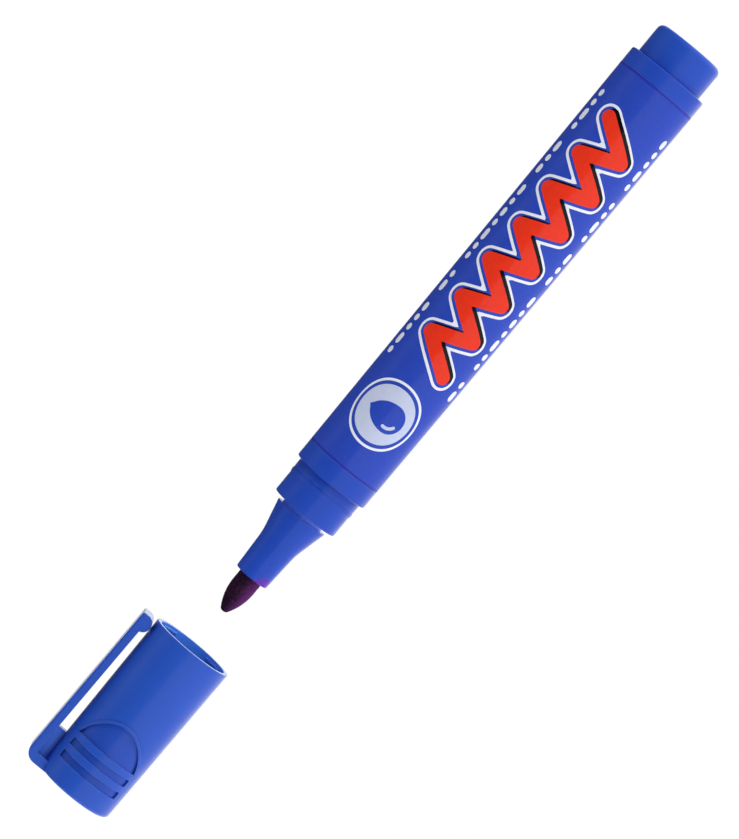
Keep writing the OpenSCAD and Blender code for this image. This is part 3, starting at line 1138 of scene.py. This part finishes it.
    def raise_film(
        self, name: str, flat: Sequence[Flat], top: Sequence[list[int]], lift: float, material: Material
    ) -> None:
        """Makes a closed thin piece from flat cells on the unrolled sleeve.

        Args:
            name: Name of the piece.
            flat: Corners of the cells.
            top: Cells, by corner number.
            lift: Millimetres that its top stands above the sleeve.
            material: Its material.
        """
        below = len(flat)
        rim: set[tuple[int, int]] = set()
        for face in top:
            for a, b in zip(face, face[1:] + face[:1]):
                if (b, a) in rim:
                    rim.remove((b, a))
                else:
                    rim.add((a, b))
        walls = [[b, a, a + below, b + below] for a, b in sorted(rim)]
        points = [self.taper.point(s, t, lift) for s, t in flat]
        points += [self.taper.point(s, t, -self.sink) for s, t in flat]
        bottom = [[i + below for i in reversed(face)] for face in top]
        self.fix(solid(name, points, [*top, *bottom, *walls], material))

    def fix(self, piece: bpy.types.Object) -> None:
        """Lets a piece ride on the pen as part of the label.

        Args:
            piece: The piece.
        """
        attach(piece, Body.PEN.value)
        LOG.info("%s: %s", piece.name, piece.data.materials[0].name)


@dataclass
class Pen:
    """The pen without its sleeve: barrel, nose, nib, tail and what is inside."""

    axis_z: float
    barrel: MouldedPlastic = MouldedPlastic(
        "gloss_polypropylene_barrel",
        "#264CBB",
        "#2B52C3",
        # Hollow shading: a painted shade, darker than the barrel.
        "#2446B2",
        gloss=(0.15, 0.22),
        grain_mm=0.6,
        grain_depth_mm=0.001,
        edge_mm=0.35,
    )
    tail: MouldedPlastic = MouldedPlastic(
        "soft_gloss_polypropylene_tail",
        "#2650BD",
        "#2B56C5",
        # Hollow shading: a painted shade, darker than the tail.
        "#1A369A",
        gloss=(0.3, 0.38),
        grain_mm=0.5,
        grain_depth_mm=0.002,
    )
    wrap: PrintedFilm = PrintedFilm("plain_reservoir_film", "#C4CCE2", "#B4BDDA", gloss=(0.18, 0.3))

    def build(self) -> None:
        """Dresses the pieces of the pen."""
        nose = InkStainedPlastic(
            "gloss_polypropylene_nose",
            "#264DBE",
            "#2B53C6",
            # Hollow shading: a painted light, paler than the nose, in hollows such as the neck behind the flare.
            "#7299F4",
            gloss=(0.18, 0.26),
            grain_mm=0.6,
            grain_depth_mm=0.001,
            front_x=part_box("nib_holder")[0].x,
            axis_z=self.axis_z,
        )
        # The nib's second colour is a painted light from below, mixed with dried ink in the streaks.
        nib = BondedFibre("ink_soaked_nib_fibre", "#1A0A17", "#6A2072", self.axis_z, radius_mm=2.4)
        rod = BondedFibre(
            "ink_soaked_reservoir_fibre",
            "#1E2160",
            "#3A3FA0",
            self.axis_z,
            radius_mm=6.5,
            streak_mm=0.4,
            streak_stretch=12.0,
        )
        dress("barrel", self.barrel)
        dress("nib_holder", nose)
        dress("nib", nib)
        dress("ink_reservoir", rod)
        dress("reservoir_film", self.wrap)
        dress("rear_plug", self.tail)


@dataclass
class Cap:
    """The cap with its clip, and the inner seal."""

    axis_z: float
    seal: MouldedPlastic = MouldedPlastic(
        "satin_polyethylene_seal",
        "#2957C6",
        "#2D5DCE",
        # Hollow shading: a painted shade, darker than the seal.
        "#1D40A8",
        gloss=(0.42, 0.5),
        grain_mm=0.4,
        grain_depth_mm=0.003,
    )

    def build(self) -> None:
        """Dresses the pieces of the cap."""
        low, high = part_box("cap_shell")
        shell = GripPlastic(
            "satin_polypropylene_cap",
            "#2A56C2",
            "#2E5CCA",
            # Hollow shading: a painted shade, darker than the cap.
            "#224AB2",
            gloss=(0.3, 0.37),
            grain_mm=0.28,
            grain_depth_mm=0.003,
            # Stronger pale edges on the cap: painted highlight as well as wear.
            wear_highlight=0.6,
            skin_ior=1.26,
            end_x=low.x,
            mouth_x=high.x,
            axis_z=self.axis_z,
        )
        dress("cap_shell", shell)
        dress("cap_seal", self.seal)


@dataclass(frozen=True)
class Softbox:
    """A square lamp that lights the object and leaves no mark in its gloss."""

    name: str
    at: Place
    aim: Place
    size: float
    power: float
    colour: str = WHITE

    def build(self) -> None:
        """Hangs the lamp."""
        data = bpy.data.lights.new(self.name, "AREA")
        data.shape = "SQUARE"
        data.size = self.size
        data.energy = self.power
        data.color = linear(self.colour)[:3]
        lamp = bpy.data.objects.new(self.name, data)
        lamp.location = self.at
        lamp.rotation_euler = (Vector(self.aim) - Vector(self.at)).to_track_quat("-Z", "Y").to_euler()
        lamp.visible_glossy = False
        lamp.visible_camera = False
        bpy.context.scene.collection.objects.link(lamp)


@dataclass
class Studio:
    """A light table under and behind the object, soft lamps, and the camera where the photograph was taken."""

    axis_z: float
    table: LightTable = LightTable("opal_light_table", "#F2F2F4", passed=0.6, glow_near=0.6)
    panel: LitPanel = LitPanel("softbox_cloth", strength=0.45)
    floor_half: float = 3.0
    sweep_y: float = 1.3
    sweep_height: float = 0.26
    panel_x: Span = (-0.6, 0.6)
    panel_y: Span = (-0.27, 0.02)
    panel_z: float = 0.55
    room: str = "#4A4C52"
    room_strength: float = 0.9
    lamps: tuple[Softbox, ...] = (
        Softbox("overhead_lamp", at=(0.0, 0.05, 1.3), aim=(0.0, 0.0, 0.0), size=1.4, power=4.8, colour="#EEF4FF"),
        Softbox("left_lamp", at=(-1.2, -0.24, 0.42), aim=(0.0, 0.0, 0.0), size=0.7, power=7.0),
        Softbox("right_lamp", at=(1.0, -0.38, 0.24), aim=(-0.05, 0.0, 0.0), size=0.6, power=6.6),
        Softbox("table_lamp", at=(0.0, 0.0, -0.3), aim=(0.0, 0.0, 0.0), size=2.0, power=23.0),
    )
    sensor_mm: float = 36.0
    clip_m: Span = (0.01, 20.0)
    focal_px: float = 4849.6
    long_side_px: float = 839.0
    distance: float = 0.9
    azimuth: float = 3.4
    elevation: float = 3.0
    roll: float = 50.448
    aim_x_mm: float = -1.025
    aim_above_axis_mm: float = 1.777

    def build(self) -> None:
        """Sets up the table, the lamps, the room and the camera."""
        scene = bpy.context.scene
        scene.view_settings.view_transform = "Standard"
        self.lay_sheets()
        self.hang_panel()
        for lamp in self.lamps:
            lamp.build()
        world = bpy.data.worlds.new("studio_room")
        world.use_nodes = True
        backdrop = world.node_tree.nodes["Background"]
        backdrop.inputs["Color"].default_value = linear(self.room)
        backdrop.inputs["Strength"].default_value = self.room_strength
        scene.world = world
        scene.camera = self.camera()

    def lay_sheets(self) -> None:
        """Lays the table's sheet and the low sheet behind the object."""
        half, back, top = self.floor_half, self.sweep_y, self.sweep_height
        white = self.table.material()
        sheets = {
            "floor": [(-half, -half, 0), (half, -half, 0), (half, half, 0), (-half, half, 0)],
            "backdrop": [(-half, back, 0), (half, back, 0), (half, back, top), (-half, back, top)],
        }
        for name, corners in sheets.items():
            solid(name, corners, [(0, 1, 2, 3)], white)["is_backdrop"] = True

    def hang_panel(self) -> None:
        """Hangs the softbox cloth that shows as a band in the upper gloss."""
        (x1, x2), (y1, y2), z = self.panel_x, self.panel_y, self.panel_z
        corners = [(x1, y1, z), (x1, y2, z), (x2, y2, z), (x2, y1, z)]
        cloth = solid("softbox", corners, [(0, 1, 2, 3)], self.panel.material())
        cloth.visible_camera = False
        cloth.visible_shadow = False
        cloth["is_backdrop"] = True

    def camera(self) -> bpy.types.Object:
        """Places the camera.

        Returns:
            The camera.
        """
        data = bpy.data.cameras.new("photo_camera")
        data.sensor_width = self.sensor_mm
        data.lens = self.focal_px / self.long_side_px * self.sensor_mm
        data.clip_start, data.clip_end = self.clip_m
        made = bpy.data.objects.new("photo_camera", data)
        bpy.context.scene.collection.objects.link(made)
        turn, rise = math.radians(self.azimuth), math.radians(self.elevation)
        back = Vector((math.sin(turn) * math.cos(rise), -math.cos(turn) * math.cos(rise), math.sin(rise)))
        aim = Vector((self.aim_x_mm * MM, 0.0, self.axis_z + self.aim_above_axis_mm * MM))
        made.location = aim + back * self.distance
        made.rotation_mode = "QUATERNION"
        level = (-back).to_track_quat("-Z", "Y")
        made.rotation_quaternion = level @ Quaternion((0.0, 0.0, 1.0), -math.radians(self.roll))
        return made


def axis_height() -> float:
    """Height of the pen's axis, from the mount on its tail."""
    return next(m["pos_m"][2] for m in frame["record"]["mounts"] if m["name"] == "tail_post")


def write_sizes() -> None:
    """Works out the box of the frame and the box of the dressed model, without writing them anywhere."""
    boxes = {"cad": CAD_BOX, "visual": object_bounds()}
    {name: [list(low), list(high)] for name, (low, high) in boxes.items()}


def main() -> None:
    """Builds the marker and its studio in order."""
    logging.basicConfig(level=logging.INFO, format="%(name)s: %(message)s")
    axis_z = axis_height()
    Pen(axis_z).build()
    Sleeve(axis_z).build()
    Cap(axis_z).build()
    Studio(axis_z).build()
    write_sizes()


if __name__ == "__main__":
    main()
